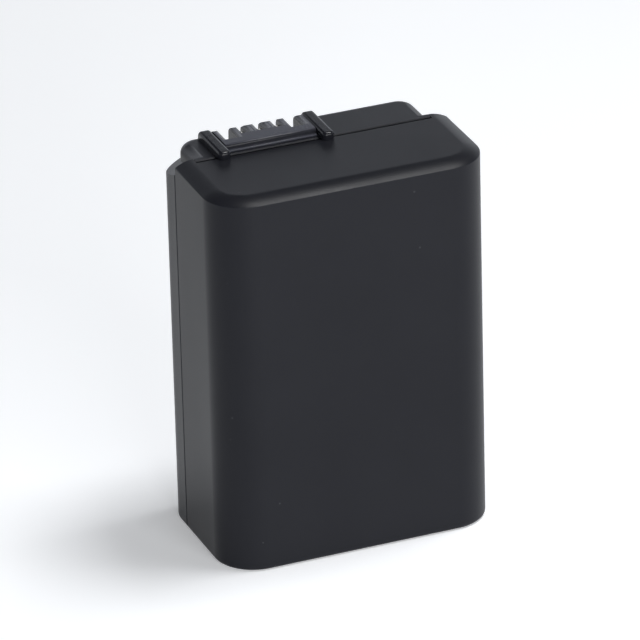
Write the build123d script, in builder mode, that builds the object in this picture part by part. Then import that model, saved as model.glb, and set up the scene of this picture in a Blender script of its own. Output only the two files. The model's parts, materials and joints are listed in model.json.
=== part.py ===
"""Two-cell camera battery: a two-shell case with a slotted terminal block at its top rear edge."""
import os

from build123d import *

# Pack, in millimetres: the front face looks along -Y and the terminals are at the top
pack_width = 31.8
pack_depth = 18.5
case_height = 44.3
wall = 1.0
base_radius = 0.5
shell_clearance = 0.05
seam_bevel = 0.12

# Front case, with a crowned border round its top and a shallow crease in front of the cover's lap
front_corner_radius = 4.7
crown_width = 1.95
crown_drop = 0.68
crown_bulge = 0.13
crease_run = 0.45
crease_drop = 0.25

# Back cover, with large rear corners and a platform between two shoulders planed down to the rear
cover_depth = 5.6
cover_corner_radius = 3.6
shoulder_drop = 1.5
shoulder_run = 3.55
shoulder_rear_drop = 1.95
platform_inset = 2.2
platform_corner_radius = 2.0
platform_radius = 1.2
lap_length = 0.65
lap_thickness = 0.55
lap_bevel = 0.12
tongue_length = 1.2
tongue_thickness = 0.7
tongue_root = 0.9

# Guide ribs, one each side of the terminal block
rib_width = 1.4
rib_height = 0.9
rib_nose_reach = 1.75
rib_rear_gap = 0.6
rib_nose_radius = 0.5
rib_edge_radius = 0.35
rib_rear_radius = 0.7
rib_seat_clearance = 0.03

# Terminal block
block_centre = -4.6
block_width = 10.5
block_rise = 0.8
block_front_gap = 0.15
block_recess = 0.8
block_gap = 0.06
block_clearance = 0.05
block_front_radius = 0.3
block_rear_radius = 0.9
toe_reach = 0.3
toe_height = 0.22
toe_radius = 0.1
flange_overhang = 1.0
flange_toe = 0.65
flange_height = 1.1

# Slots of the terminal block: three for the contacts, with a wide guide gap outside each end fin
slot_pitch = 2.06
slot_width = 0.5
slot_mouth_width = 0.62
slot_mouth_length = 1.3
slot_depth = 3.5
slot_inset = 2.2
fin_flat = 0.1
end_fin_width = 0.85
end_fin_flat = 0.04
guide_gap_width = 1.25
guide_gap_inset = 1.4
cheek_lip = 0.6

# Contacts: spring channels with a tail down to the board
contact_clearance = 0.02
contact_thickness = 0.13
contact_drop = 0.6
contact_rear_gap = 0.8
tail_width = 0.4
tail_length = 0.6
tail_inset = 0.3

# Cells and what holds them
cell_clearance = 0.125
cell_side_gap = 1.2
cell_headroom = 7.4
cell_side_radius = 3.0
cell_bevel = 0.4
button_width = 4.0
button_length = 2.4
button_height = 0.4
tape_thickness = 0.15
tape_margin = 3.7
pad_thickness = 0.4
pad_margin = 2.4

# Cell insulators, welded strips and fuse
insulator_thickness = 0.2
insulator_inset = 0.25
window_margin = 0.3
strip_width = 3.0
strip_thickness = 0.15
weld_length = 2.2
button_x = 0.0
front_weld_x = -6.5
rear_weld_x = 6.5
fuse_width = 3.4
fuse_height = 0.9
fuse_gap = 0.5
fuse_margin = 1.8
midpoint_y = -2.4

# Circuit board on its frame
board_inset = 0.5
board_thickness = 0.8
board_corner_radius = 1.0
board_front_clearance = 1.05
board_rear_clearance = 0.35
frame_height = 1.6
frame_rail = 1.1

# Parts soldered on the board: sizes as width, length and height, places from the flange's front edge
lead_reach = 0.7
lead_width = 0.3
lead_thickness = 0.2
fine_pitch = 0.65
wide_pitch = 0.95
chip_bevel = 0.2
gauge_size = (4.4, 5.0, 1.1)
gauge_places = [(-7.0, -5.1)]
protection_size = (3.0, 3.0, 1.0)
protection_places = [(0.2, -5.3)]
switch_size = (3.0, 4.4, 1.1)
switch_places = [(5.6, -5.3), (10.4, -5.3)]
thermistor_size = (1.6, 0.8, 0.8)
thermistor_places = [(9.5, 1.5)]
resistor_size = (0.5, 1.0, 0.35)
resistor_places = [(-10.5, -1.7), (-8.9, -1.7), (-7.3, -1.7), (-5.7, -1.7), (-4.1, -1.7), (-2.5, -1.7)]
capacitor_size = (0.8, 1.6, 0.8)
capacitor_places = [(3.2, -1.5), (5.6, -1.5), (8.0, -1.5), (10.4, -1.5)]

# Places worked out from the sizes above
half_width = pack_width / 2
pack_height = case_height + rib_height
front_y = -pack_depth / 2
rear_y = pack_depth / 2
seam_y = rear_y - cover_depth
ceiling = case_height - wall
shoulder_floor = case_height - shoulder_drop - shoulder_rear_drop
platform_half = half_width - platform_inset
lap_y = seam_y - lap_length
lap_z = case_height - lap_thickness
tongue_half = half_width - wall - shell_clearance
tongue_top = ceiling - shell_clearance
root_y = seam_y + tongue_root
block_height = case_height + block_rise
block_front_y = seam_y + block_front_gap
block_rear_y = rear_y - block_recess
opening_front_y = block_front_y - block_clearance
opening_half = block_width / 2 + block_gap
slot_floor = block_height - slot_depth
slot_front_y = block_front_y + slot_inset
tail_y = slot_front_y + tail_inset + tail_length / 2
cell_floor = wall + pad_thickness
cell_top = case_height - cell_headroom
cell_width = pack_width - 2 * (wall + cell_side_gap)
cell_thickness = (pack_depth - tape_thickness) / 2 - wall - cell_clearance
rear_cell_y = (cell_thickness + tape_thickness) / 2
front_cell_y = -rear_cell_y
button_top = cell_top + button_height
insulator_top = cell_top + insulator_thickness
board_floor = insulator_top + frame_height
board_top = board_floor + board_thickness
board_width = cell_width - 2 * board_inset
board_length = pack_depth - 2 * wall - board_front_clearance - board_rear_clearance
board_y = rear_y - wall - board_rear_clearance - board_length / 2
flange_top = board_top + flange_height
flange_front_y = block_front_y - flange_toe
flange_rear_y = rear_y - wall - block_clearance


def shoulder_corners(place_y):
    """Section of what is planed off a shoulder at a place along the depth: outer foot, top edge, corner."""
    outer_x = half_width + wall
    over = case_height + wall
    edge_z = case_height - shoulder_drop - (place_y - seam_y) * shoulder_rear_drop / cover_depth
    foot_z = edge_z - wall * shoulder_drop / shoulder_run
    top_x = half_width - (over - edge_z) * shoulder_run / shoulder_drop
    return [(outer_x, foot_z), (top_x, over), (outer_x, over)]


def rim_points(start_y, end_y, inset):
    """Corners of a shell's outline, from one side round its end to the other, moved in by a wall."""
    side = half_width - inset
    return [(-side, start_y), (-side, end_y), (side, end_y), (side, start_y)]


# Front case: a tray open at the back
with BuildPart() as front_case:
    with BuildSketch():
        with BuildLine():
            rim = FilletPolyline(*rim_points(seam_y, front_y, 0), radius=front_corner_radius)
            Line(rim @ 1, rim @ 0)
        make_face()
    extrude(amount=case_height)
    chamfer(front_case.faces().sort_by(Axis.Y)[-1].edges().filter_by(Axis.Z), length=seam_bevel)
    with BuildLine(Plane.XY.offset(case_height)) as crown_path:
        FilletPolyline(*rim_points(seam_y, front_y, 0), radius=front_corner_radius)
    with BuildSketch(Plane(crown_path.line @ 0, x_dir=(1, 0, 0), z_dir=(0, -1, 0))) as crown_section:
        with BuildLine():
            lip = (0, -crown_drop)
            crest = (crown_width, 0)
            SagittaArc(lip, crest, crown_bulge)
            Polyline(crest, (crown_width, wall), (-wall, wall), (-wall, -crown_drop), lip)
        make_face()
    sweep(sections=crown_section.sketch, path=crown_path.line, mode=Mode.SUBTRACT)
    fillet(front_case.faces().sort_by(Axis.Z)[0].edges().sort_by(Axis.Y)[:-1], base_radius)
    with BuildSketch(Plane.XY.offset(wall)):
        with BuildLine():
            inner_corners = rim_points(seam_y, front_y + wall, wall)
            inner_rim = FilletPolyline(*inner_corners, radius=front_corner_radius - wall)
            Line(inner_rim @ 1, inner_rim @ 0)
        make_face()
    extrude(amount=ceiling - wall, mode=Mode.SUBTRACT)
    with BuildSketch(Plane.YZ):
        with BuildLine():
            rebate_y = lap_y - shell_clearance
            rebate_z = lap_z - shell_clearance
            Polyline(
                (rebate_y, rebate_z),
                (seam_y + wall, rebate_z),
                (seam_y + wall, pack_height),
                (rebate_y - crease_run, pack_height),
                (rebate_y - crease_run, case_height),
                (rebate_y, case_height - crease_drop),
                close=True,
            )
        make_face()
    extrude(amount=platform_half + shell_clearance, both=True, mode=Mode.SUBTRACT)
front_case.part.label = "front_case"

# Guide rib, drawn at the middle of the pack: its nose rests over the front case
with BuildPart() as guide_rib:
    with BuildSketch(Plane.YZ) as rib_profile:
        with BuildLine():
            nose_y = seam_y - rib_nose_reach
            rib_seat = case_height + rib_seat_clearance
            rib_root = case_height - platform_radius
            rib_rear_y = rear_y - rib_rear_gap
            Polyline(
                (nose_y, rib_seat),
                (nose_y, pack_height),
                (rib_rear_y, pack_height),
                (rib_rear_y, rib_root),
                (seam_y, rib_root),
                (seam_y, rib_seat),
                close=True,
            )
        make_face()
        fillet(rib_profile.vertices().sort_by(Axis.X)[-2:].sort_by(Axis.Y)[-1], rib_rear_radius)
    extrude(amount=rib_width / 2, both=True)
    fillet(guide_rib.faces().sort_by(Axis.Y)[0].edges().filter_by(Axis.Z), rib_nose_radius)
    fillet(guide_rib.faces().sort_by(Axis.Z)[-1].edges().sort_by(Axis.Y)[:-1], rib_edge_radius)

# Back cover: a shallow tray whose tongue fits inside the front case
with BuildPart() as back_cover:
    with BuildSketch():
        with BuildLine():
            outline = FilletPolyline(*rim_points(seam_y, rear_y, 0), radius=cover_corner_radius)
            Line(outline @ 1, outline @ 0)
        make_face()
    extrude(amount=case_height)
    fillet(back_cover.faces().sort_by(Axis.Z)[0].edges().sort_by(Axis.Y)[1:], base_radius)
    chamfer(back_cover.faces().sort_by(Axis.Y)[0].edges().sort_by(Axis.Z)[:-1], seam_bevel)
    for side in (-1, 1):
        for place_y in (seam_y - wall, rear_y + wall):
            with BuildSketch(Plane.XZ.offset(-place_y)):
                with BuildLine():
                    Polyline(*[(side * x, z) for x, z in shoulder_corners(place_y)], close=True)
                make_face()
        loft(ruled=True, mode=Mode.SUBTRACT)
    with BuildSketch(Plane.XY.offset(shoulder_floor)):
        with BuildLine():
            platform_corners = rim_points(seam_y, rear_y, platform_inset)
            platform_outline = FilletPolyline(*platform_corners, radius=platform_corner_radius)
            Line(platform_outline @ 1, platform_outline @ 0)
        make_face()
    extrude(amount=case_height - shoulder_floor)
    fillet(back_cover.faces().sort_by(Axis.Z)[-1].edges().sort_by(Axis.Y)[1:], platform_radius)
    with BuildSketch(Plane.YZ):
        with BuildLine():
            Polyline(
                (lap_y, lap_z),
                (lap_y, case_height - lap_bevel),
                (lap_y + lap_bevel, case_height),
                (seam_y, case_height),
                (seam_y, lap_z),
                close=True,
            )
        make_face()
    extrude(amount=platform_half, both=True)
    with BuildSketch(Plane.XZ.offset(-root_y)):
        with Locations((0, (wall + shell_clearance + tongue_top) / 2)):
            Rectangle(2 * tongue_half, tongue_top - wall - shell_clearance)
    extrude(amount=tongue_root + tongue_length)
    rib_offset = opening_half + rib_width / 2
    with Locations((block_centre - rib_offset, 0, 0), (block_centre + rib_offset, 0, 0)):
        add(guide_rib.part)
    with BuildSketch(Plane.XY.offset(wall)):
        with BuildLine():
            inner_corners = rim_points(root_y, rear_y - wall, wall)
            inner_outline = FilletPolyline(*inner_corners, radius=cover_corner_radius - wall)
            Line(inner_outline @ 1, inner_outline @ 0)
        make_face()
    extrude(amount=shoulder_floor - wall, mode=Mode.SUBTRACT)
    with BuildSketch(Plane.XZ.offset(-root_y)):
        with Locations((0, (wall + ceiling) / 2)):
            Rectangle(2 * (platform_half - wall), ceiling - wall)
    extrude(amount=root_y - rear_y + wall, mode=Mode.SUBTRACT)
    with BuildSketch(Plane.XZ.offset(-root_y)):
        with BuildLine():
            rim_half = tongue_half - tongue_thickness
            rim_top = tongue_top - tongue_thickness
            Polyline(
                (0, wall),
                (rim_half, wall),
                (rim_half, shoulder_floor),
                (platform_half - wall, shoulder_floor),
                (platform_half - wall, rim_top),
                (0, rim_top),
            )
            mirror(about=Plane.YZ)
        make_face()
    extrude(amount=tongue_root + tongue_length, mode=Mode.SUBTRACT)
    with BuildSketch(Plane.XY.offset(flange_top + block_clearance)):
        with Locations((block_centre, (opening_front_y + rear_y + wall) / 2)):
            Rectangle(2 * opening_half, rear_y + wall - opening_front_y)
    extrude(amount=pack_height - flange_top, mode=Mode.SUBTRACT)
back_cover.part.label = "back_cover"

# Terminal block: a flange on the board and a slotted body that shows through the cover
slot_places = [block_centre + step * slot_pitch for step in (-1, 0, 1)]
end_fin_x = slot_pitch + slot_width / 2
guide_gap_x = end_fin_x + end_fin_width
neck_y = block_rear_y - slot_mouth_length


def slot_section(left_x, right_x, left_lip, right_lip):
    """Section of a slot whose two upper edges are rounded by their own lip radii."""
    over = block_height + wall
    CenterArc((left_x - left_lip, block_height - left_lip), left_lip, 0, 90)
    CenterArc((right_x + right_lip, block_height - right_lip), right_lip, 90, 90)
    Polyline(
        (left_x, block_height - left_lip),
        (left_x, slot_floor),
        (right_x, slot_floor),
        (right_x, block_height - right_lip),
    )
    Polyline(
        (left_x - left_lip, block_height),
        (left_x - left_lip, over),
        (right_x + right_lip, over),
        (right_x + right_lip, block_height),
    )


with BuildPart() as terminal_block:
    with BuildSketch(Plane.YZ.offset(block_centre)) as block_profile:
        with BuildLine():
            sill = flange_top + 2 * block_clearance
            toe_floor = case_height + rib_seat_clearance
            toe_top = case_height + toe_height
            Polyline(
                (block_front_y, flange_top),
                (block_front_y, toe_floor),
                (block_front_y - toe_reach, toe_floor),
                (block_front_y - toe_reach, toe_top),
                (block_front_y, toe_top),
                (block_front_y, block_height),
                (block_rear_y, block_height),
                (block_rear_y, sill),
                (flange_rear_y, sill),
                (flange_rear_y, flange_top),
                close=True,
            )
        make_face()
        fillet(block_profile.vertices().group_by(Axis.Y)[-1].sort_by(Axis.X)[0], block_front_radius)
        fillet(block_profile.vertices().sort_by(Axis.X)[:2].sort_by(Axis.Y)[-1], toe_radius)
        fillet(block_profile.vertices().sort_by(Axis.X)[-2:].sort_by(Axis.Y)[-1], block_rear_radius)
    extrude(amount=block_width / 2, both=True)
    fin_lip = (slot_pitch - slot_width - fin_flat) / 2
    end_fin_lip = (end_fin_width - end_fin_flat) / 2
    with BuildSketch(Plane.XZ.offset(-slot_front_y)):
        fin_lips = (end_fin_lip, fin_lip, fin_lip, end_fin_lip)
        for place, left_lip, right_lip in zip(slot_places, fin_lips[:-1], fin_lips[1:]):
            with BuildLine():
                slot_section(place - slot_width / 2, place + slot_width / 2, left_lip, right_lip)
            make_face()
    extrude(amount=slot_front_y - block_rear_y, mode=Mode.SUBTRACT)
    guide_front_y = block_front_y + guide_gap_inset
    with BuildSketch(Plane.XZ.offset(-guide_front_y)):
        with BuildLine():
            right_gap = block_centre + guide_gap_x
            slot_section(right_gap, right_gap + guide_gap_width, end_fin_lip, cheek_lip)
        make_face()
        with BuildLine():
            left_gap = block_centre - guide_gap_x
            slot_section(left_gap - guide_gap_width, left_gap, cheek_lip, end_fin_lip)
        make_face()
    extrude(amount=guide_front_y - block_rear_y, mode=Mode.SUBTRACT)
    with BuildSketch(Plane.XY.offset(slot_floor)):
        for place in slot_places:
            with BuildLine():
                Polyline(
                    (place - slot_width / 2, neck_y),
                    (place + slot_width / 2, neck_y),
                    (place + slot_mouth_width / 2, block_rear_y),
                    (place - slot_mouth_width / 2, block_rear_y),
                    close=True,
                )
            make_face()
    extrude(amount=block_height - slot_floor, mode=Mode.SUBTRACT)
    with BuildSketch(Plane.XY.offset(board_top)):
        with Locations((block_centre, (flange_front_y + flange_rear_y) / 2)):
            Rectangle(block_width + 2 * flange_overhang, flange_rear_y - flange_front_y)
    extrude(amount=flange_height)
    with BuildSketch(Plane.XY.offset(board_top)):
        with Locations(*[(place, tail_y) for place in slot_places]):
            Rectangle(tail_width + 2 * contact_clearance, tail_length + 2 * contact_clearance)
    extrude(amount=slot_floor - board_top, mode=Mode.SUBTRACT)
terminal_block.part.label = "terminal_block"

# Contacts: each a spring channel lying in its slot, with a tail that stands on the board
def build_contact(label, place):
    outer = slot_width - 2 * contact_clearance
    inner = outer - 2 * contact_thickness
    contact_top = block_height - contact_drop
    contact_rear_y = block_rear_y - contact_rear_gap
    with BuildPart() as contact:
        with BuildSketch(Plane.XZ.offset(-slot_front_y - contact_clearance)):
            with BuildLine():
                Polyline(
                    (place - outer / 2, slot_floor),
                    (place + outer / 2, slot_floor),
                    (place + outer / 2, contact_top),
                    (place + inner / 2, contact_top),
                    (place + inner / 2, slot_floor + contact_thickness),
                    (place - inner / 2, slot_floor + contact_thickness),
                    (place - inner / 2, contact_top),
                    (place - outer / 2, contact_top),
                    close=True,
                )
            make_face()
        extrude(amount=slot_front_y + contact_clearance - contact_rear_y)
        with BuildSketch(Plane.XY.offset(board_top)):
            with Locations((place, tail_y)):
                Rectangle(tail_width, tail_length)
        extrude(amount=slot_floor - board_top)
    contact.part.label = label
    return contact


contact_names = ("negative_contact", "data_contact", "positive_contact")
contacts = [build_contact(label, place) for label, place in zip(contact_names, slot_places)]


# Cells: sealed cans with rounded sides and one insulated button on the lid
def build_cell(label, place_y):
    with BuildPart() as cell:
        with BuildSketch(Plane.XY.offset(cell_floor)):
            with Locations((0, place_y)):
                RectangleRounded(cell_width, cell_thickness, cell_side_radius)
        extrude(amount=cell_top - cell_floor)
        chamfer(cell.faces().sort_by(Axis.Z)[0].edges(), cell_bevel)
        with BuildSketch(Plane.XY.offset(cell_top)):
            with Locations((button_x, place_y)):
                RectangleRounded(button_width, button_length, button_length / 3)
        extrude(amount=button_height)
    cell.part.label = label
    return cell


cells = [build_cell("front_cell", front_cell_y), build_cell("rear_cell", rear_cell_y)]


# Lid insulators: sheets with windows for the button and for the strip welded to the lid
def build_insulator(label, place_y, weld_x):
    with BuildPart() as insulator:
        with BuildSketch(Plane.XY.offset(cell_top)):
            with Locations((0, place_y)):
                sheet_width = cell_width - 2 * insulator_inset
                sheet_length = cell_thickness - 2 * insulator_inset
                RectangleRounded(sheet_width, sheet_length, cell_side_radius - insulator_inset)
            edging = 2 * window_margin
            with Locations((button_x, place_y)):
                Rectangle(button_width + edging, button_length + edging, mode=Mode.SUBTRACT)
            with Locations((weld_x, place_y)):
                Rectangle(strip_width + edging, weld_length + edging, mode=Mode.SUBTRACT)
        extrude(amount=insulator_thickness)
    insulator.part.label = label
    return insulator


insulators = [
    build_insulator("front_lid_insulator", front_cell_y, front_weld_x),
    build_insulator("rear_lid_insulator", rear_cell_y, rear_weld_x),
]


def build_strip(label, place_x, width, profile):
    """A bent strip: its edge view in the YZ plane, drawn out to the strip's width."""
    with BuildPart() as strip:
        with BuildSketch(Plane.YZ.offset(place_x)):
            with BuildLine():
                Polyline(*profile, close=True)
            make_face()
        extrude(amount=width / 2, both=True)
    strip.part.label = label
    return strip


def riser_profile(foot_y, foot_z):
    """Edge view of a strip that folds up from a weld and back under the board."""
    end_y = foot_y + weld_length
    return [
        (foot_y, foot_z),
        (end_y, foot_z),
        (end_y, board_floor),
        (foot_y, board_floor),
        (foot_y, board_floor - strip_thickness),
        (end_y - strip_thickness, board_floor - strip_thickness),
        (end_y - strip_thickness, foot_z + strip_thickness),
        (foot_y, foot_z + strip_thickness),
    ]


# Series link: from the front cell's button across to the rear cell's lid
link_top = button_top + strip_thickness
link_start_y = front_cell_y - button_length / 2
link_bend_y = rear_cell_y - weld_length / 2
with BuildPart() as series_link:
    with BuildSketch(Plane.YZ.offset(rear_weld_x)):
        with BuildLine():
            Polyline(
                (link_start_y, button_top),
                (link_bend_y - strip_thickness, button_top),
                (link_bend_y - strip_thickness, cell_top),
                (link_bend_y + weld_length, cell_top),
                (link_bend_y + weld_length, cell_top + strip_thickness),
                (link_bend_y, cell_top + strip_thickness),
                (link_bend_y, link_top),
                (link_start_y, link_top),
                close=True,
            )
        make_face()
    extrude(amount=strip_width / 2, both=True)
    with BuildSketch(Plane.XY.offset(button_top)):
        with Locations(((button_x - button_width / 2 + rear_weld_x) / 2, front_cell_y)):
            Rectangle(rear_weld_x - button_x + button_width / 2, button_length)
    extrude(amount=strip_thickness)
series_link.part.label = "series_link"

# Thermal fuse on the rear lid, between a lead from the front lid and the positive strip
fuse_front_y = rear_cell_y - cell_thickness / 2 + fuse_gap
fuse_length = cell_thickness - fuse_gap - weld_length - fuse_margin
fuse_rear_y = fuse_front_y + fuse_length
fuse_strip_z = insulator_top + (fuse_height - strip_thickness) / 2
with BuildPart() as thermal_fuse:
    with BuildSketch(Plane.XY.offset(insulator_top)):
        with Locations((front_weld_x, (fuse_front_y + fuse_rear_y) / 2)):
            Rectangle(fuse_width, fuse_length)
    extrude(amount=fuse_height)
    fillet(thermal_fuse.edges().filter_by(Axis.Y), fuse_height / 3)
thermal_fuse.part.label = "thermal_fuse"
lid_weld_start = front_cell_y - weld_length / 2
lid_weld_end = front_cell_y + weld_length / 2
fuse_lead = build_strip(
    "fuse_lead",
    front_weld_x,
    strip_width,
    [
        (lid_weld_start, cell_top),
        (lid_weld_end, cell_top),
        (lid_weld_end, fuse_strip_z),
        (fuse_front_y, fuse_strip_z),
        (fuse_front_y, fuse_strip_z + strip_thickness),
        (lid_weld_end - strip_thickness, fuse_strip_z + strip_thickness),
        (lid_weld_end - strip_thickness, cell_top + strip_thickness),
        (lid_weld_start, cell_top + strip_thickness),
    ],
)
positive_strip = build_strip(
    "positive_strip", front_weld_x, strip_width, riser_profile(fuse_rear_y, fuse_strip_z)
)
negative_strip = build_strip(
    "negative_strip", button_x, strip_width, riser_profile(rear_cell_y - weld_length / 2, button_top)
)
midpoint_tab = build_strip("midpoint_tab", rear_weld_x, strip_width, riser_profile(midpoint_y, link_top))

# Frame that stands on the two lids and carries the board
with BuildPart() as board_frame:
    with BuildSketch(Plane.XY.offset(insulator_top)):
        with Locations((0, board_y)):
            RectangleRounded(board_width, board_length, board_corner_radius)
            Rectangle(board_width - 2 * frame_rail, board_length - 2 * frame_rail, mode=Mode.SUBTRACT)
    extrude(amount=frame_height)
board_frame.part.label = "board_frame"

with BuildPart() as circuit_board:
    with BuildSketch(Plane.XY.offset(board_floor)):
        with Locations((0, board_y)):
            RectangleRounded(board_width, board_length, board_corner_radius)
    extrude(amount=board_thickness)
circuit_board.part.label = "circuit_board"


def build_chips(label, places, size, pitch):
    """Moulded chips on the board with a row of leads along each side."""
    width, length, height = size
    on_board = (Align.CENTER, Align.CENTER, Align.MIN)
    spots = [(x, flange_front_y + y, board_top) for x, y in places]
    leads = int(length // pitch)
    with BuildPart() as chips:
        with Locations(*spots):
            Box(width, length, height, align=on_board)
        chamfer(chips.faces().group_by(Axis.Z)[-1].edges(), chip_bevel)
        with Locations(*spots):
            with GridLocations(width + lead_reach, pitch, 2, leads):
                Box(lead_reach, lead_width, lead_thickness, align=on_board)
    chips.part.label = label
    return chips


def build_blocks(label, places, size):
    """Small leadless parts soldered flat on the board."""
    with BuildPart() as blocks:
        with Locations(*[(x, flange_front_y + y, board_top) for x, y in places]):
            Box(*size, align=(Align.CENTER, Align.CENTER, Align.MIN))
    blocks.part.label = label
    return blocks


board_parts = [
    build_chips("gauge_chip", gauge_places, gauge_size, fine_pitch),
    build_chips("protection_chip", protection_places, protection_size, fine_pitch),
    build_chips("switch_transistors", switch_places, switch_size, wide_pitch),
    build_blocks("thermistor", thermistor_places, thermistor_size),
    build_blocks("chip_resistors", resistor_places, resistor_size),
    build_blocks("chip_capacitors", capacitor_places, capacitor_size),
]

# Pad under the cells and the tape that joins them
with BuildPart() as base_pad:
    with BuildSketch(Plane.XY.offset(wall)):
        stack_length = 2 * cell_thickness + tape_thickness
        Rectangle(cell_width - 2 * pad_margin, stack_length - 2 * pad_margin)
    extrude(amount=pad_thickness)
base_pad.part.label = "base_pad"

with BuildPart() as cell_tape:
    with BuildSketch(Plane.XZ):
        with Locations((0, (cell_floor + cell_top) / 2)):
            Rectangle(cell_width - 2 * tape_margin, cell_top - cell_floor - 2 * tape_margin)
    extrude(amount=tape_thickness / 2, both=True)
cell_tape.part.label = "cell_tape"

pieces = [front_case, back_cover, terminal_block, *contacts, *cells, *insulators]
pieces += [series_link, thermal_fuse, fuse_lead, positive_strip, negative_strip, midpoint_tab]
pieces += [board_frame, circuit_board, *board_parts, base_pad, cell_tape]
os.makedirs("parts", exist_ok=True)
for piece in pieces:
    export_step(piece.part, f"parts/{piece.part.label}.step")
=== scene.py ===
"""Studio picture of a camera battery: moulded case, slotted terminal block and the parts inside."""
import json
import math

import bpy
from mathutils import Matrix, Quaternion, Vector


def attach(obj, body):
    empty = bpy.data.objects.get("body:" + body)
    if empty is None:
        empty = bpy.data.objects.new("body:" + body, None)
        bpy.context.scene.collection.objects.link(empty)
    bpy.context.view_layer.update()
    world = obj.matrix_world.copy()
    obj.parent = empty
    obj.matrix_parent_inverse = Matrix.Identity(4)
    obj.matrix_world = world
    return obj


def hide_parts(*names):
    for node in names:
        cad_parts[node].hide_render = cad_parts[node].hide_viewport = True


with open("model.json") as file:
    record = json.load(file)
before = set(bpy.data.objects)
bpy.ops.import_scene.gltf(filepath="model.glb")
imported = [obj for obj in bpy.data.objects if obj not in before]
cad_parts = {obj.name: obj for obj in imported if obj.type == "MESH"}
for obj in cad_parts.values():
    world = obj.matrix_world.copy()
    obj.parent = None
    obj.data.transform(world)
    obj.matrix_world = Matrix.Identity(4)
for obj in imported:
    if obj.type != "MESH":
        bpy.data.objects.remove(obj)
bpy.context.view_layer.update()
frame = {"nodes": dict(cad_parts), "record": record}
nodes = frame["nodes"]
scene = bpy.context.scene

MM = 0.001
UNIT = (0.0, 1.0)


# Node tree helpers
def feed(tree, socket, value):
    """Links an input to a node's output, or sets it to a plain value."""
    if isinstance(value, bpy.types.NodeSocket):
        tree.links.new(value, socket)
    else:
        socket.default_value = value


def add_node(tree, kind, **inputs):
    """Adds a node and feeds its inputs, named here with underscores for spaces."""
    node = tree.nodes.new(kind)
    for name, value in inputs.items():
        feed(tree, node.inputs[name.replace("_", " ")], value)
    return node


def math_node(tree, operation, first, second):
    """A math node whose two inputs are links or numbers; returns its output."""
    node = tree.nodes.new("ShaderNodeMath")
    node.operation = operation
    for socket, value in zip(node.inputs, (first, second)):
        feed(tree, socket, value)
    return node.outputs["Value"]


def remap(tree, value, source, target=UNIT):
    """Maps a value from one range to another, held inside the new range."""
    node = add_node(
        tree, "ShaderNodeMapRange", Value=value,
        From_Min=source[0], From_Max=source[1], To_Min=target[0], To_Max=target[1],
    )
    return node.outputs["Result"]


def noise(tree, vector, scale, detail=2.0, roughness=0.5):
    """A noise texture; its scale is a number or a link."""
    node = add_node(
        tree, "ShaderNodeTexNoise", Vector=vector, Scale=scale, Detail=detail, Roughness=roughness
    )
    return node.outputs["Fac"]


def object_place(tree):
    """A point's place in the pack's own frame, in metres."""
    return tree.nodes.new("ShaderNodeTexCoord").outputs["Object"]


def place_along(tree, axis):
    """A point's place along one axis of the pack's own frame, in metres."""
    return add_node(tree, "ShaderNodeSeparateXYZ", Vector=object_place(tree)).outputs[axis]


def new_group(name, inputs, outputs):
    """A shader node group with number inputs and number outputs."""
    group = bpy.data.node_groups.new(name, "ShaderNodeTree")
    for label, value in inputs.items():
        socket = group.interface.new_socket(label, in_out="INPUT", socket_type="NodeSocketFloat")
        socket.default_value = value
    for label in outputs:
        group.interface.new_socket(label, in_out="OUTPUT", socket_type="NodeSocketFloat")
    return group, group.nodes.new("NodeGroupInput"), group.nodes.new("NodeGroupOutput")


# Shared effects: the part of each noise that is spread over the whole range, then each effect's own values
GRAIN_SPREAD = (0.3, 0.7)
CLOUD_SPREAD = (0.32, 0.68)
PATCH_SPREAD = (0.38, 0.66)
GRAIN_PER_METRE = 9000.0
CLOUD_PER_METRE = 90.0
FLOW_STRETCH = (1.0, 1.0, 0.18)
# Edge mask: wear from handling, made strong enough to paint highlights along edges and noses.
EDGE_WEAR_AND_HIGHLIGHT_REACH = 0.2 * MM
EDGE_WEAR_AND_HIGHLIGHT_TURN = (0.995, 0.80)
EDGE_WEAR_AND_HIGHLIGHT_SAMPLES = 6
PATCH_PER_METRE = 700.0
DUST_PER_METRE = 420.0
DUST_DOT = 0.05
DUST_RARITY = 0.72
LINES_PER_METRE = 12000.0
LINE_STRETCH = (1.0, 1.0, 0.02)
STAIN_PER_METRE = 160.0


def make_moulded_skin():
    """Fine spark-etched grain of a moulded surface, with slow clouds of tone and gloss."""
    group, given, out = new_group(
        "moulded_skin",
        {"Grain per metre": GRAIN_PER_METRE, "Cloud per metre": CLOUD_PER_METRE},
        ("Grain", "Cloud", "Flow"),
    )
    place = object_place(group)
    grain = noise(group, place, given.outputs["Grain per metre"], detail=3.0, roughness=0.6)
    cloud = noise(group, place, given.outputs["Cloud per metre"], detail=3.0, roughness=0.55)
    stretch = add_node(group, "ShaderNodeMapping", Vector=place, Scale=FLOW_STRETCH)
    flow = noise(group, stretch.outputs["Vector"], given.outputs["Cloud per metre"])
    group.links.new(remap(group, grain, GRAIN_SPREAD), out.inputs["Grain"])
    group.links.new(remap(group, cloud, CLOUD_SPREAD), out.inputs["Cloud"])
    group.links.new(remap(group, flow, CLOUD_SPREAD), out.inputs["Flow"])
    return group


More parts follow.
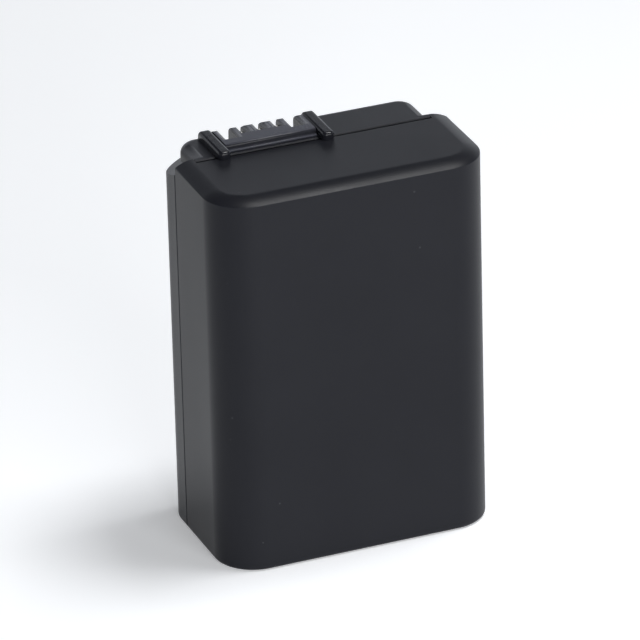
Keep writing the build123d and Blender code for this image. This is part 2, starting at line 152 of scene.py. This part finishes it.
def make_edge_wear_and_highlight():
    """Mask of corners that wear from handling, used as well to paint highlights along edges: where a
    rounded normal leaves the true one, broken by noise.
    """
    group, given, out = new_group(
        "edge_wear_and_highlight", {"Reach": EDGE_WEAR_AND_HIGHLIGHT_REACH, "Patch per metre": PATCH_PER_METRE}, ("Wear and highlight",)
    )
    rounded = add_node(group, "ShaderNodeBevel", Radius=given.outputs["Reach"])
    rounded.samples = EDGE_WEAR_AND_HIGHLIGHT_SAMPLES
    true_normal = group.nodes.new("ShaderNodeNewGeometry").outputs["Normal"]
    turn = group.nodes.new("ShaderNodeVectorMath")
    turn.operation = "DOT_PRODUCT"
    group.links.new(rounded.outputs["Normal"], turn.inputs[0])
    group.links.new(true_normal, turn.inputs[1])
    edge = remap(group, turn.outputs["Value"], EDGE_WEAR_AND_HIGHLIGHT_TURN)
    patch = noise(group, object_place(group), given.outputs["Patch per metre"], detail=3.0, roughness=0.6)
    wear_and_highlight = math_node(group, "MULTIPLY", edge, remap(group, patch, PATCH_SPREAD))
    group.links.new(wear_and_highlight, out.inputs["Wear and highlight"])
    return group


def make_dust():
    """Sparse specks of dust: small dots at a few of the points of a cell pattern."""
    group, given, out = new_group("dust", {"Cells per metre": DUST_PER_METRE, "Dot": DUST_DOT}, ("Speck",))
    cells = add_node(
        group, "ShaderNodeTexVoronoi", Vector=object_place(group), Scale=given.outputs["Cells per metre"]
    )
    near = math_node(group, "LESS_THAN", cells.outputs["Distance"], given.outputs["Dot"])
    lot = add_node(group, "ShaderNodeSeparateColor", Color=cells.outputs["Color"]).outputs["Red"]
    chosen = math_node(group, "GREATER_THAN", lot, DUST_RARITY)
    group.links.new(math_node(group, "MULTIPLY", near, chosen), out.inputs["Speck"])
    return group


def make_drawn_lines():
    """Fine lines left by drawing or rolling metal, along the object's height, and slow stains."""
    group, given, out = new_group("drawn_lines", {"Lines per metre": LINES_PER_METRE}, ("Line", "Stain"))
    place = object_place(group)
    stretch = add_node(group, "ShaderNodeMapping", Vector=place, Scale=LINE_STRETCH)
    line = noise(group, stretch.outputs["Vector"], given.outputs["Lines per metre"], roughness=0.6)
    stain = noise(group, place, STAIN_PER_METRE, detail=3.0, roughness=0.55)
    group.links.new(remap(group, line, GRAIN_SPREAD), out.inputs["Line"])
    group.links.new(remap(group, stain, CLOUD_SPREAD), out.inputs["Stain"])
    return group


MOULDED_SKIN = make_moulded_skin()
EDGE_WEAR_AND_HIGHLIGHT = make_edge_wear_and_highlight()
DUST = make_dust()
DRAWN_LINES = make_drawn_lines()

# Materials: a mix node's sockets for colours, then the values that all finishes share
MIX_COLOURS = (6, 7)
MIX_RESULT = 2
SURFACE_IOR = 1.5
GRAIN_DEPTH = 0.004 * MM
LINE_DEPTH = 0.002 * MM
GLOSS_SWING = 0.03
METAL_SMOOTHER = 0.06
METAL_ROUGHER = 0.08
POLISH_RISE = 0.1 * MM
POLISH_DEPTH = 0.18
# How much paler edges and scuffed places turn; this paling also paints highlights on edges, on the block's
# top and along its front.
WEAR_AND_HIGHLIGHT_GAIN = 2.8
SCUFF_AND_HIGHLIGHT_RANGE = (0.75, 1.0)
DUST_COLOUR = (0.20, 0.20, 0.21)


def place_group(tree, group, **values):
    """Places a shared effect in a material with its own values; returns its outputs."""
    node = tree.nodes.new("ShaderNodeGroup")
    node.node_tree = group
    for name, value in values.items():
        node.inputs[name.replace("_", " ")].default_value = value
    return node.outputs


def blend_colour(tree, factor, first, second):
    """Mixes two colours, each a link or three numbers, by a factor."""
    node = tree.nodes.new("ShaderNodeMix")
    node.data_type = "RGBA"
    tree.links.new(factor, node.inputs["Factor"])
    for index, colour in zip(MIX_COLOURS, (first, second)):
        linked = isinstance(colour, bpy.types.NodeSocket)
        feed(tree, node.inputs[index], colour if linked else (*colour, 1.0))
    return node.outputs[MIX_RESULT]


def new_material(name, specular=0.5, metallic=0.0):
    """A material with a plain Principled shader; constant values go on its own sockets."""
    material = bpy.data.materials.new(name)
    material.use_nodes = True
    tree = material.node_tree
    shader = tree.nodes["Principled BSDF"]
    shader.inputs["Specular IOR Level"].default_value = specular
    shader.inputs["IOR"].default_value = SURFACE_IOR
    shader.inputs["Metallic"].default_value = metallic
    return material, tree, shader


def bump(tree, shader, height, depth):
    """Raises a surface by a height pattern, depth in metres."""
    node = add_node(tree, "ShaderNodeBump", Height=height, Distance=depth, Strength=1.0)
    tree.links.new(node.outputs["Normal"], shader.inputs["Normal"])


def moulded_plastic(
    name, colour, paler, rough, specular, grain=GRAIN_PER_METRE, depth=GRAIN_DEPTH, wear_and_highlight=0.5, specks=0.0,
    polish_from=None, scuffs_and_highlights=(),
):
    """Moulded plastic: etched grain, slow clouds of tone, edges paled by wear and by painted highlights,
    dust, polish, and scuffed places that also paint highlights.

    Polish starts at a height. Each scuffed place is painted paler as much for a highlight as for wear. It
    is given as an axis and the places along it where it starts and is full.
    """
    material, tree, shader = new_material(name, specular=specular)
    skin = place_group(tree, MOULDED_SKIN, Grain_per_metre=grain)
    tone = blend_colour(tree, skin["Cloud"], colour, paler)
    # Edges and scuffed places turn paler: partly wear, partly painted highlights.
    worn_and_highlit = math_node(tree, "MULTIPLY", place_group(tree, EDGE_WEAR_AND_HIGHLIGHT)["Wear and highlight"], wear_and_highlight)
    for axis, start, full in scuffs_and_highlights:
        scuff_and_highlight = remap(tree, place_along(tree, axis), (start, full))
        scuff_and_highlight = math_node(tree, "MULTIPLY", scuff_and_highlight, remap(tree, skin["Flow"], UNIT, SCUFF_AND_HIGHLIGHT_RANGE))
        worn_and_highlit = math_node(tree, "MAXIMUM", worn_and_highlit, scuff_and_highlight)
    worn_and_highlit_colour = [min(1.0, value * WEAR_AND_HIGHLIGHT_GAIN) for value in paler]
    tone = blend_colour(tree, worn_and_highlit, tone, worn_and_highlit_colour)
    if specks:
        speck = math_node(tree, "MULTIPLY", place_group(tree, DUST)["Speck"], specks)
        tone = blend_colour(tree, speck, tone, DUST_COLOUR)
    tree.links.new(tone, shader.inputs["Base Color"])
    slow_gloss = remap(tree, skin["Flow"], UNIT, (rough - GLOSS_SWING, rough + GLOSS_SWING))
    fine_gloss = remap(tree, skin["Grain"], UNIT, (-GLOSS_SWING, GLOSS_SWING))
    gloss = math_node(tree, "ADD", slow_gloss, fine_gloss)
    if polish_from:
        rise = (polish_from, polish_from + POLISH_RISE)
        polished = remap(tree, place_along(tree, "Z"), rise, (0.0, POLISH_DEPTH))
        gloss = math_node(tree, "SUBTRACT", gloss, polished)
    tree.links.new(gloss, shader.inputs["Roughness"])
    bump(tree, shader, skin["Grain"], depth)
    return material


def drawn_metal(name, colour, darker, rough, lines):
    """Metal with fine drawn lines and slow stains."""
    material, tree, shader = new_material(name, metallic=1.0)
    marks = place_group(tree, DRAWN_LINES, Lines_per_metre=lines)
    tone = blend_colour(tree, marks["Stain"], colour, darker)
    tree.links.new(tone, shader.inputs["Base Color"])
    gloss = remap(tree, marks["Line"], UNIT, (rough - METAL_SMOOTHER, rough + METAL_ROUGHER))
    tree.links.new(gloss, shader.inputs["Roughness"])
    bump(tree, shader, marks["Line"], LINE_DEPTH)
    return material


# Finishes of the pieces
CASE_DARK = (0.0116, 0.0122, 0.0160)
CASE_PALE = (0.0131, 0.0138, 0.0179)
BLOCK_DARK = (0.0190, 0.0197, 0.0250)
BLOCK_PALE = (0.0212, 0.0220, 0.0278)
CASE_TOP = 44.35 * MM
# Scuffing on the block: paler above 45 mm and in front of 3.7 mm. This is partly wear and partly painted
# highlights on its top and along its front.
BLOCK_SCUFFS_AND_HIGHLIGHTS = (("Z", 45.00 * MM, 45.08 * MM), ("Y", 3.74 * MM, 3.70 * MM))
FOAM_DEPTH = 0.03 * MM

PLASTICS = {
    "case_plastic": dict(colour=CASE_DARK, paler=CASE_PALE, rough=0.38, specular=0.16, specks=0.15),
    # The cover and block get stronger edge paling: painted highlights on their edges and noses, over the
    # wear.
    "cover_plastic": dict(
        colour=CASE_DARK, paler=CASE_PALE, rough=0.38, specular=0.21, wear_and_highlight=0.8, specks=0.15,
        polish_from=CASE_TOP,
    ),
    "block_plastic": dict(
        colour=BLOCK_DARK, paler=BLOCK_PALE, rough=0.26, specular=0.17, wear_and_highlight=0.8, scuffs_and_highlights=BLOCK_SCUFFS_AND_HIGHLIGHTS
    ),
    "frame_plastic": dict(
        colour=(0.10, 0.10, 0.11), paler=(0.13, 0.13, 0.14), rough=0.5, specular=0.4
    ),
    "chip_resin": dict(
        colour=(0.022, 0.022, 0.024), paler=(0.030, 0.030, 0.032), rough=0.55, specular=0.4, grain=6000.0
    ),
    "fuse_body": dict(
        colour=(0.72, 0.69, 0.62), paler=(0.78, 0.76, 0.70), rough=0.45, specular=0.5, wear_and_highlight=0.1
    ),
    "small_part_ceramic": dict(
        colour=(0.42, 0.33, 0.24), paler=(0.50, 0.41, 0.31), rough=0.5, specular=0.5, wear_and_highlight=0.1
    ),
    "pad_foam": dict(
        colour=(0.05, 0.05, 0.05), paler=(0.08, 0.08, 0.08), rough=0.85, specular=0.2, grain=2600.0,
        depth=FOAM_DEPTH,
    ),
    "insulator_paper": dict(
        colour=(0.80, 0.77, 0.68), paler=(0.86, 0.84, 0.76), rough=0.8, specular=0.2, grain=4000.0, wear_and_highlight=0.05
    ),
    "tape_film": dict(
        colour=(0.78, 0.78, 0.74), paler=(0.84, 0.84, 0.80), rough=0.6, specular=0.3, grain=5000.0, wear_and_highlight=0.05
    ),
    "board_laminate": dict(
        colour=(0.020, 0.15, 0.06), paler=(0.035, 0.21, 0.085), rough=0.3, specular=0.5, grain=3000.0
    ),
}
METALS = {
    "contact_metal": dict(colour=(0.94, 0.91, 0.86), darker=(0.84, 0.80, 0.74), rough=0.22, lines=16000.0),
    "strip_metal": dict(colour=(0.72, 0.71, 0.68), darker=(0.60, 0.59, 0.56), rough=0.3, lines=9000.0),
    "cell_can": dict(colour=(0.80, 0.81, 0.82), darker=(0.70, 0.71, 0.72), rough=0.36, lines=7000.0),
}
FINISHES = {name: moulded_plastic(name, **look) for name, look in PLASTICS.items()}
FINISHES.update({name: drawn_metal(name, **look) for name, look in METALS.items()})
for row in frame["record"]["subparts"]:
    nodes[row["node"]].material_slots[0].material = FINISHES[row["material_slot"]]

# The cover's shoulders: half widths, the seam, their height at the seam's outer edge, and their slopes
HALF_WIDTH = 15.9 * MM
PLATFORM_HALF = 13.7 * MM
TONGUE_HALF = 14.85 * MM
SEAM_PLACE = 3.65 * MM
SHOULDER_EDGE = 42.8 * MM
SHOULDER_RISE = 1.5 / 3.55
SHOULDER_FALL = 1.95 / 5.6
TIP_HEIGHT = 0.02 * MM
CORNER_REACH = 0.05 * MM


def shoulder_height(across, place_y):
    """Height of the planed shoulder at a distance from the middle and a place along the depth."""
    return SHOULDER_EDGE + (HALF_WIDTH - across) * SHOULDER_RISE - (place_y - SEAM_PLACE) * SHOULDER_FALL


def make_cover_shell():
    """The back cover with its tongue's upper corners planed off flush with the shoulders."""
    mesh = nodes["back_cover"].data.copy()
    mesh.name = "cover_shell"
    corner_height = shoulder_height(TONGUE_HALF, SEAM_PLACE)
    for vertex in mesh.vertices:
        across = abs(vertex.co.x)
        height = shoulder_height(across, vertex.co.y)
        corner = Vector((math.copysign(TONGUE_HALF, vertex.co.x), SEAM_PLACE, corner_height))
        on_shoulder = across > PLATFORM_HALF + CORNER_REACH and vertex.co.y > SEAM_PLACE + CORNER_REACH
        stands_out = on_shoulder and vertex.co.z > height + TIP_HEIGHT
        if stands_out or (vertex.co - corner).length < CORNER_REACH:
            vertex.co = corner
    shell = bpy.data.objects.new("cover_shell", mesh)
    scene.collection.objects.link(shell)
    shell.material_slots[0].material = FINISHES["cover_plastic"]
    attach(shell, "root")
    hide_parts("back_cover")
    return shell


cover_shell = make_cover_shell()

# Softened edges of the moulded pieces
CASE_EDGE = 0.07 * MM
COVER_EDGE = 0.06 * MM
BLOCK_EDGE = 0.05 * MM
EDGE_SEGMENTS = 2
SHARP_ANGLE = 25.0
FLAT_ANGLE = 0.3
MERGE_REACH = 0.0005 * MM
NORMAL_WEIGHT = 50


def make_smooth_faces():
    """Geometry nodes that shade every face smooth."""
    group = bpy.data.node_groups.new("smooth_faces", "GeometryNodeTree")
    for direction in ("INPUT", "OUTPUT"):
        group.interface.new_socket("Geometry", in_out=direction, socket_type="NodeSocketGeometry")
    given = group.nodes.new("NodeGroupInput")
    out = group.nodes.new("NodeGroupOutput")
    smooth = group.nodes.new("GeometryNodeSetShadeSmooth")
    group.links.new(given.outputs["Geometry"], smooth.inputs["Geometry"])
    group.links.new(smooth.outputs["Geometry"], out.inputs["Geometry"])
    return group


SMOOTH_FACES = make_smooth_faces()


def soften(piece, width):
    """Merges flat facets and rounds the sharp edges of a moulded piece."""
    weld = piece.modifiers.new("weld", "WELD")
    weld.merge_threshold = MERGE_REACH
    flat = piece.modifiers.new("flat", "DECIMATE")
    flat.decimate_type = "DISSOLVE"
    flat.angle_limit = math.radians(FLAT_ANGLE)
    edge = piece.modifiers.new("edge", "BEVEL")
    edge.width = width
    edge.segments = EDGE_SEGMENTS
    edge.limit_method = "ANGLE"
    edge.angle_limit = math.radians(SHARP_ANGLE)
    edge.use_clamp_overlap = True
    smooth = piece.modifiers.new("smooth", "NODES")
    smooth.node_group = SMOOTH_FACES
    weighted = piece.modifiers.new("weighted", "WEIGHTED_NORMAL")
    weighted.keep_sharp = False
    weighted.weight = NORMAL_WEIGHT


soften(nodes["front_case"], CASE_EDGE)
soften(cover_shell, COVER_EDGE)
soften(nodes["terminal_block"], BLOCK_EDGE)

# Floor
FLOOR_RADIUS = 3.0
FLOOR_SIDES = 96
FLOOR_GLOW = 0.29
FLOOR_DARK = (0.905, 0.925, 0.955)
FLOOR_PALE = (0.920, 0.940, 0.970)
FLOOR_CLOUDS = 30.0
FLOOR_ROUGH = 0.9
FLOOR_SPECULAR = 0.2
WHITE = (1.0, 1.0, 1.0, 1.0)


def make_floor():
    """A large pale round floor under the pack; it glows where it is seen, directly or in a reflection."""
    mesh = bpy.data.meshes.new("studio_floor")
    angles = [math.tau * side / FLOOR_SIDES for side in range(FLOOR_SIDES)]
    points = [(FLOOR_RADIUS * math.cos(angle), FLOOR_RADIUS * math.sin(angle), 0.0) for angle in angles]
    mesh.from_pydata(points, [], [range(FLOOR_SIDES)])
    floor = bpy.data.objects.new("studio_floor", mesh)
    scene.collection.objects.link(floor)
    material, tree, shader = new_material("floor_paper", specular=FLOOR_SPECULAR)
    tint = noise(tree, object_place(tree), FLOOR_CLOUDS)
    tree.links.new(blend_colour(tree, tint, FLOOR_DARK, FLOOR_PALE), shader.inputs["Base Color"])
    shader.inputs["Roughness"].default_value = FLOOR_ROUGH
    ray = tree.nodes.new("ShaderNodeLightPath").outputs
    seen = math_node(tree, "MAXIMUM", ray["Is Camera Ray"], ray["Is Glossy Ray"])
    seen = math_node(tree, "MAXIMUM", seen, ray["Is Transmission Ray"])
    shader.inputs["Emission Color"].default_value = WHITE
    tree.links.new(math_node(tree, "MULTIPLY", seen, FLOOR_GLOW), shader.inputs["Emission Strength"])
    mesh.materials.append(material)


# Pale walls round the pack: brightness in front and behind, where one turns into the other, and their top
WALL_FRONT = 0.45
WALL_BEHIND = 1.24
WALL_TURN = (-0.3, 0.3)
WALL_FADE = (19.0, 25.0)
WALL_COLOUR = (0.93, 0.97, 1.04, 1.0)


def studio_world():
    """Low pale walls, brightest behind the pack, under a dark ceiling."""
    world = bpy.data.worlds.new("studio")
    scene.world = world
    world.use_nodes = True
    tree = world.node_tree
    ground = tree.nodes["Background"]
    direction = tree.nodes.new("ShaderNodeTexCoord").outputs["Generated"]
    parts = add_node(tree, "ShaderNodeSeparateXYZ", Vector=direction).outputs
    wall = remap(tree, parts["Y"], WALL_TURN, (WALL_FRONT, WALL_BEHIND))
    fade = [math.sin(math.radians(angle)) for angle in WALL_FADE]
    below = remap(tree, parts["Z"], fade, (1.0, 0.0))
    tree.links.new(math_node(tree, "MULTIPLY", wall, below), ground.inputs["Strength"])
    ground.inputs["Color"].default_value = WALL_COLOUR


# Soft box lamps, in metres; radiance is the brightness of a lamp's face, where 1 is white
LAMP_AIM = Vector((0.0, 0.0, 0.02))
OVERHEAD_BOX = dict(place=(0.13, -0.03, 0.45), width=0.15, depth=0.15, radiance=19.2)
FRONT_BOX = dict(place=(0.03, -0.50, 0.14), width=0.34, depth=0.20, radiance=8.0)


def area_lamp(name, place, width, depth, radiance):
    """A soft box lamp turned to the pack's middle."""
    lamp = bpy.data.lights.new(name, "AREA")
    lamp.shape = "RECTANGLE"
    lamp.size = width
    lamp.size_y = depth
    lamp.energy = radiance * width * depth * math.pi
    box = bpy.data.objects.new(name, lamp)
    box.location = place
    box.rotation_mode = "QUATERNION"
    box.rotation_quaternion = (LAMP_AIM - Vector(place)).to_track_quat("-Z", "Y")
    scene.collection.objects.link(box)


make_floor()
studio_world()
area_lamp("overhead_box", **OVERHEAD_BOX)
area_lamp("front_box", **FRONT_BOX)

# Camera at the photograph's angle: degrees, metres, and pixels of the picture
CAMERA_AZIMUTH = -21.676
CAMERA_ELEVATION = 26.095
CAMERA_ROLL = -1.467
CAMERA_DISTANCE = 763.3 * MM
CAMERA_AIM = Vector((0.0, 0.0, 22.0 * MM))
PICTURE_SIZE = 640.0
FOCAL_PIXELS = 7000.0
AIM_RIGHT = 8.825
AIM_DOWN = 15.1
SENSOR_WIDTH = 36.0
NEAREST_SEEN = 0.05
FARTHEST_SEEN = 10.0


def make_camera():
    """A long lens, moved aside in its own plane to set the pack where the photograph has it."""
    turn = math.radians(CAMERA_AZIMUTH)
    lift = math.radians(CAMERA_ELEVATION)
    back = Vector((math.sin(turn) * math.cos(lift), -math.cos(turn) * math.cos(lift), math.sin(lift)))
    lens = bpy.data.cameras.new("studio_camera")
    lens.sensor_width = SENSOR_WIDTH
    lens.lens = SENSOR_WIDTH * FOCAL_PIXELS / PICTURE_SIZE
    lens.shift_x = -AIM_RIGHT / PICTURE_SIZE
    lens.shift_y = AIM_DOWN / PICTURE_SIZE
    lens.clip_start = NEAREST_SEEN
    lens.clip_end = FARTHEST_SEEN
    camera = bpy.data.objects.new("studio_camera", lens)
    camera.location = CAMERA_AIM + back * CAMERA_DISTANCE
    camera.rotation_mode = "QUATERNION"
    roll = Quaternion((0.0, 0.0, 1.0), math.radians(CAMERA_ROLL))
    camera.rotation_quaternion = (-back).to_track_quat("-Z", "Y") @ roll
    scene.collection.objects.link(camera)
    scene.camera = camera


make_camera()
scene.view_settings.view_transform = "Standard"
